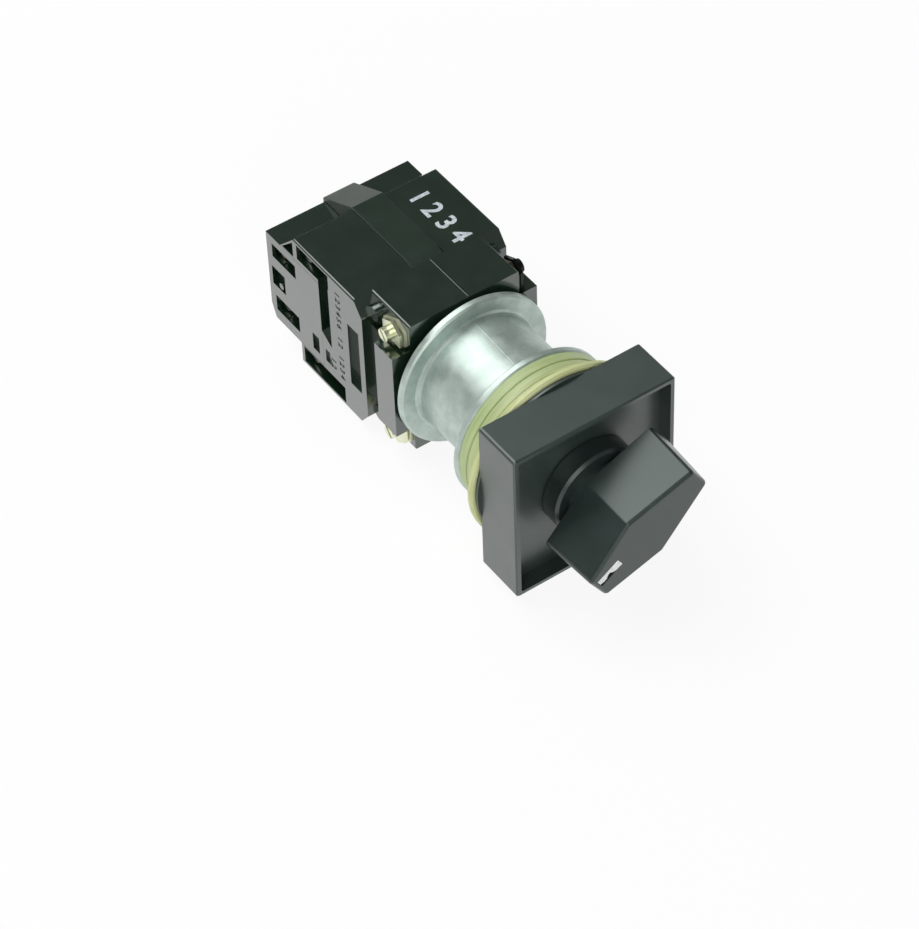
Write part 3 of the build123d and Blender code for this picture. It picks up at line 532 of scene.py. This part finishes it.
class SWITCH_OT_gaskets(bpy.types.Operator):
    """Finishes the pale translucent gaskets and the shaft's seal"""

    bl_idname = "switch.gaskets"
    bl_label = "Gaskets"

    def execute(self, context):
        green = tuple(context.scene.switch_colours.gasket)
        yellow = (green[0] * 1.46, green[1] * 1.22, green[2] * 1.30)
        soft, tree, shader = new_material("Gasket", 0.42)
        layers = place_group(tree, shared("Seal layers", seal_layers))
        front = two_colours(tree, layers.outputs["Depth"], yellow, green)
        streak = tree.nodes.new("ShaderNodeMix")
        streak.data_type = "RGBA"
        streak.blend_type = "MULTIPLY"
        streak.inputs["B"].default_value = (0.80, 0.78, 0.62, 1.0)
        tree.links.new(span(tree, layers.outputs["Streak"], -0.5, 1.5), streak.inputs["Factor"])
        tree.links.new(front, streak.inputs["A"])
        tree.links.new(streak.outputs["Result"], shader.inputs["Base Color"])
        shader.inputs["Subsurface Weight"].default_value = 0.4
        shader.inputs["Subsurface Radius"].default_value = (1.0, 1.0, 0.5)
        shader.inputs["Subsurface Scale"].default_value = 0.0012
        bump(tree, shader, layers.outputs["Streak"], 0.35, 0.00010)
        coat(
            soft, "wide_gasket", "round_gasket_front", "round_gasket_middle", "round_gasket_rear",
        )

        seal = mottled("Seal rubber", 0.55, (0.012, 0.012, 0.012), (0.03, 0.03, 0.03))
        coat(seal, "shaft_seal")
        return {"FINISHED"}


class SWITCH_OT_metals(bpy.types.Operator):
    """Finishes the collar, shaft, ball, screws, clamps, strips, bridges and springs"""

    bl_idname = "switch.metals"
    bl_label = "Metals"

    def execute(self, context):
        colours = context.scene.switch_colours
        zinc_colour = tuple(colours.zinc)
        zinc, tree, shader = new_material("Die-cast zinc", 0.4, 0.75)
        skin = place_group(tree, shared("Cast skin", cast_skin), Cloud_Scale=260.0)
        darker = (zinc_colour[0] * 0.80, zinc_colour[1] * 0.85, zinc_colour[2] * 0.82)
        paler = tuple(min(1.0, c * 1.4) for c in zinc_colour)
        base = two_colours(tree, span(tree, skin.outputs["Cloud"], -0.55, 1.55), darker, paler)
        tree.links.new(base, shader.inputs["Base Color"])
        tree.links.new(span(tree, skin.outputs["Cloud"], 0.30, 0.56), shader.inputs["Roughness"])
        bump(tree, shader, skin.outputs["Height"], 0.2, 0.00010)
        coat(zinc, "collar")

        # painted shade: the front screws and clamps are made darker on the right-hand side
        chromate = tuple(colours.chromate)
        worn = tuple(c * 0.72 for c in chromate)
        plated = clouded_metal(
            "Yellow chromate", worn, chromate, roughness=0.24, metallic=0.85, scale=500.0,
        )
        paint_shade_on(plated, (0.020, 0.026, 0.022), "Right")
        coat(plated, "terminal_screws_front", "clamp_plates_front")

        # painted shade: the strips are made darker on the right-hand side, and behind the front
        # row where they sit in the side windows
        strip = clouded_metal(
            "Plated strip", worn, chromate, roughness=0.35, metallic=0.7, scale=500.0,
        )
        paint_shade_on(strip, (0.060, 0.055, 0.035), "Right", "Behind")
        coat(strip, "terminal_strips")

        steel = clouded_metal(
            "Plain steel", (0.42, 0.42, 0.41), (0.62, 0.62, 0.60),
            roughness=0.3, metallic=0.95, scale=400.0,
        )
        coat(
            steel, "shaft", "rotor_screw", "detent_ball", "detent_spring",
            "return_spring_upper", "return_spring_lower", "long_screws",
        )
        # painted shade: the middle and rear screws and small clamps sit in the side windows, so
        # their steel is made darker all over
        painted_shade = clouded_metal(
            "Steel with painted shade", (0.12, 0.125, 0.11), (0.50, 0.50, 0.44),
            roughness=0.22, metallic=0.9, scale=600.0,
        )
        coat(painted_shade, "terminal_screws_middle", "terminal_screws_rear", "clamp_plates_small")
        brass = clouded_metal(
            "Contact brass", (0.50, 0.40, 0.18), (0.72, 0.60, 0.32),
            roughness=0.32, metallic=0.95, scale=400.0,
        )
        coat(brass, "bridges_upper", "bridges_lower")
        return {"FINISHED"}


class SWITCH_OT_springs(bpy.types.Operator):
    """Gives the upper return spring a mesh of its own"""

    bl_idname = "switch.springs"
    bl_label = "Springs"

    def execute(self, context):
        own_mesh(NODES["return_spring_upper"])
        return {"FINISHED"}


class SWITCH_OT_mould_lines(bpy.types.Operator):
    """Adds the mould lines on the collar's neck and on the block's top"""

    bl_idname = "switch.mould_lines"
    bl_label = "Mould lines"

    def execute(self, context):
        half_width = context.scene.switch_sizes.seam_width / 2
        across, height = ridge_section(16)
        # along the neck: the section swept along Y, slightly askew round the axis, half of it sunk
        y = np.linspace(*NECK_SPAN, 24)
        askew = np.radians(np.interp(y, NECK_SPAN, NECK_SEAM_ANGLES))
        angle = askew[:, None] - across[None, :] * half_width / NECK_R
        radius = NECK_R + NECK_SEAM_HEIGHT * height[None, :]
        points = np.column_stack([
            (radius * np.cos(angle)).ravel(),
            np.repeat(y, across.size),
            (radius * np.sin(angle)).ravel(),
        ])
        faces = ridge_faces(y.size, across.size)
        seam = solid_mesh("neck_seam", points, faces, NODES["collar"].data.materials[0])
        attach(seam, "switch_body")

        # on the block's top, from the front to the strap
        low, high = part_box("contact_housing")
        strap_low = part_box("latch_strap")[0]
        y = np.array([low.y + TOP_LINE_GAPS[0], strap_low.y - TOP_LINE_GAPS[1]])
        points = np.column_stack([
            np.tile(TOP_LINE_X + across * half_width, y.size),
            np.repeat(y, across.size),
            np.tile(high.z + TOP_LINE_HEIGHT * height, y.size),
        ])
        faces = ridge_faces(y.size, across.size)
        line = solid_mesh("top_line", points, faces, NODES["contact_housing"].data.materials[0])
        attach(line, "switch_body")
        return {"FINISHED"}


class SWITCH_OT_figures(bpy.types.Operator):
    """Prints plain white figures on the top and raises small ones on the side"""

    bl_idname = "switch.figures"
    bl_label = "Figures"

    def execute(self, context):
        sizes = context.scene.switch_sizes
        low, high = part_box("contact_housing")
        paint = tuple(context.scene.switch_colours.print_white)
        thin = tuple(c * 0.4 for c in paint)
        ink, tree, shader = new_material("Printed white", 0.5)
        grain = place_group(tree, shared("Moulded grain", moulded_grain), Mottle_Scale=1400.0)
        base = two_colours(tree, span(tree, grain.outputs["Mottle"], -0.2, 1.8), thin, paint)
        tree.links.new(base, shader.inputs["Base Color"])

        # the row reads to the front, with the tops of the figures to the right
        middle_x, middle_y = PRINT_MIDDLE

        def on_top(right, up, height):
            return middle_x + up, middle_y - right, high.z - PRINT_SUNK + height

        row = flat_figures(
            "printed_figures", "1234", sizes.figure_height, sizes.figure_pitch,
            PRINT_THICKNESS, on_top, ink,
        )
        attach(row, "switch_body")

        # raised figures in columns on the left side, read from the top down
        block_black = tuple(context.scene.switch_colours.block_black)
        rubbed = black_plastic(
            "Rubbed moulding", block_black, lift=1.5, roughness=0.7, shine=0.3, skin=0.0,
        )
        step = sizes.relief_height * RELIEF_STEP
        for index, (y, z, text) in enumerate(RELIEF_COLUMNS):

            def on_side(right, up, height, y=y, z=z):
                return low.x + RELIEF_SUNK - height, y - up, z - right

            raised = flat_figures(
                f"raised_figures_{index}", text, sizes.relief_height, step,
                RELIEF_THICKNESS, on_side, rubbed,
            )
            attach(raised, "switch_body")
        return {"FINISHED"}


def looking(back, place, roll=0.0):
    """The matrix of a camera or lamp at a place that looks away from the direction back.

    right = z cross back, made unit, and up = back cross right. The roll then turns both:
    right becomes cos roll right + sin roll up, and up becomes cos roll up - sin roll right.
    """
    right = np.cross([0.0, 0.0, 1.0], back)
    right /= np.linalg.norm(right)
    up = np.cross(back, right)
    matrix = np.eye(4)
    matrix[:3, 0] = math.cos(roll) * right + math.sin(roll) * up
    matrix[:3, 1] = math.cos(roll) * up - math.sin(roll) * right
    matrix[:3, 2] = back
    matrix[:3, 3] = place
    return Matrix(matrix.tolist())


def photo_camera():
    """The matrix of the camera.

    back = (sin a cos e, -cos a cos e, sin e), with a the azimuth and e the elevation.
    """
    azimuth = math.radians(CAMERA_AZIMUTH)
    elevation = math.radians(CAMERA_ELEVATION)
    back = np.array([
        math.sin(azimuth) * math.cos(elevation),
        -math.cos(azimuth) * math.cos(elevation),
        math.sin(elevation),
    ])
    return looking(back, np.array(CAMERA_PLACE) * MM, math.radians(CAMERA_ROLL))


def area_lamp(name, place, size, power):
    """A square soft lamp at a place, turned to the switch."""
    data = bpy.data.lights.new(name, "AREA")
    data.shape = "SQUARE"
    data.size = size
    data.energy = power
    lamp = bpy.data.objects.new(name, data)
    bpy.context.scene.collection.objects.link(lamp)
    away = np.array(place) - np.array(LAMPS_AIM)
    lamp.matrix_world = looking(away / np.linalg.norm(away), place)


class SWITCH_OT_stage(bpy.types.Operator):
    """Makes the pale floor, the soft light and the camera"""

    bl_idname = "switch.stage"
    bl_label = "Stage"

    def execute(self, context):
        scene = context.scene
        scene.view_settings.view_transform = "Standard"

        # the switch rests on the wide gasket and the block's lower rear edge
        gasket_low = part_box("wide_gasket")[0]
        block_low, block_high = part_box("contact_housing")
        slope = (block_low.z - gasket_low.z) / (block_high.y - gasket_low.y)
        corners = [
            (
                x * FLOOR_HALF, y * FLOOR_HALF,
                gasket_low.z - FLOOR_GAP + slope * (y * FLOOR_HALF - gasket_low.y),
            )
            for x, y in ((-1, -1), (1, -1), (1, 1), (-1, 1))
        ]
        mesh = bpy.data.meshes.new("floor")
        mesh.from_pydata(corners, [], [(0, 1, 2, 3)])
        floor = bpy.data.objects.new("floor", mesh)
        scene.collection.objects.link(floor)
        pale, tree, shader = new_material("Pale floor", 0.9)
        shader.inputs["Base Color"].default_value = (0.97, 0.97, 0.97, 1.0)
        shader.inputs["Specular IOR Level"].default_value = 0.0
        # seen by the camera, in a gloss or through glass, the floor is mostly plain white
        white = tree.nodes.new("ShaderNodeEmission")
        path = tree.nodes.new("ShaderNodeLightPath")
        rays = ("Is Camera Ray", "Is Glossy Ray", "Is Transmission Ray")
        seen = either(tree, *(path.outputs[ray] for ray in rays))
        share = span(tree, seen, 0.0, context.scene.switch_sizes.floor_white)
        mix = tree.nodes.new("ShaderNodeMixShader")
        tree.links.new(share, mix.inputs["Fac"])
        tree.links.new(shader.outputs["BSDF"], mix.inputs[1])
        tree.links.new(white.outputs["Emission"], mix.inputs[2])
        tree.links.new(mix.outputs["Shader"], tree.nodes["Material Output"].inputs["Surface"])
        mesh.materials.append(pale)

        # dim walls and a darker ceiling, so that the lamps and the floor shape the gloss
        world = bpy.data.worlds.new("Soft room")
        scene.world = world
        world.use_nodes = True
        tree = world.node_tree
        place = tree.nodes.new("ShaderNodeTexCoord")
        apart = tree.nodes.new("ShaderNodeSeparateXYZ")
        height = tree.nodes.new("ShaderNodeMapRange")
        height.interpolation_type = "SMOOTHSTEP"
        height.inputs["From Min"].default_value = ROOM_HEIGHTS[0]
        height.inputs["From Max"].default_value = ROOM_HEIGHTS[1]
        height.inputs["To Min"].default_value = ROOM_LIGHT[0]
        height.inputs["To Max"].default_value = ROOM_LIGHT[1]
        tree.links.new(place.outputs["Generated"], apart.inputs["Vector"])
        tree.links.new(apart.outputs["Z"], height.inputs["Value"])
        background = tree.nodes["Background"]
        background.inputs["Color"].default_value = (1.0, 1.0, 1.0, 1.0)
        tree.links.new(height.outputs["Result"], background.inputs["Strength"])

        for lamp in LAMPS:
            area_lamp(*lamp)

        data = bpy.data.cameras.new("Camera")
        data.sensor_fit = "VERTICAL"
        data.sensor_height = FILM_HEIGHT
        data.lens = FOCAL_LENGTH / PHOTO_HEIGHT * FILM_HEIGHT
        data.clip_start = 0.05
        data.clip_end = 20.0
        camera = bpy.data.objects.new("Camera", data)
        scene.collection.objects.link(camera)
        camera.matrix_world = photo_camera()
        scene.camera = camera
        return {"FINISHED"}


class SWITCH_PT_sidebar(bpy.types.Panel):
    """Lists the colours, the sizes and the steps"""

    bl_label = "Panel selector switch"
    bl_idname = "SWITCH_PT_sidebar"
    bl_space_type = "VIEW_3D"
    bl_region_type = "UI"
    bl_category = "Switch"

    def draw(self, context):
        for group in (context.scene.switch_colours, context.scene.switch_sizes):
            for name in group.__annotations__:
                self.layout.prop(group, name)
        for operator in OPERATORS:
            self.layout.operator(operator.bl_idname)


OPERATORS = (
    SWITCH_OT_plastics,
    SWITCH_OT_pointer,
    SWITCH_OT_gaskets,
    SWITCH_OT_metals,
    SWITCH_OT_springs,
    SWITCH_OT_mould_lines,
    SWITCH_OT_figures,
    SWITCH_OT_stage,
)
CLASSES = (SwitchColours, SwitchSizes, *OPERATORS, SWITCH_PT_sidebar)


def register():
    for cls in CLASSES:
        bpy.utils.register_class(cls)
    bpy.types.Scene.switch_colours = PointerProperty(type=SwitchColours)
    bpy.types.Scene.switch_sizes = PointerProperty(type=SwitchSizes)


def unregister():
    del bpy.types.Scene.switch_sizes
    del bpy.types.Scene.switch_colours
    for cls in reversed(CLASSES):
        bpy.utils.unregister_class(cls)


def main():
    register()
    bpy.ops.switch.plastics()
    bpy.ops.switch.pointer()
    bpy.ops.switch.gaskets()
    bpy.ops.switch.metals()
    bpy.ops.switch.springs()
    bpy.ops.switch.mould_lines()
    bpy.ops.switch.figures()
    bpy.ops.switch.stage()


if __name__ == "__main__":
    main()
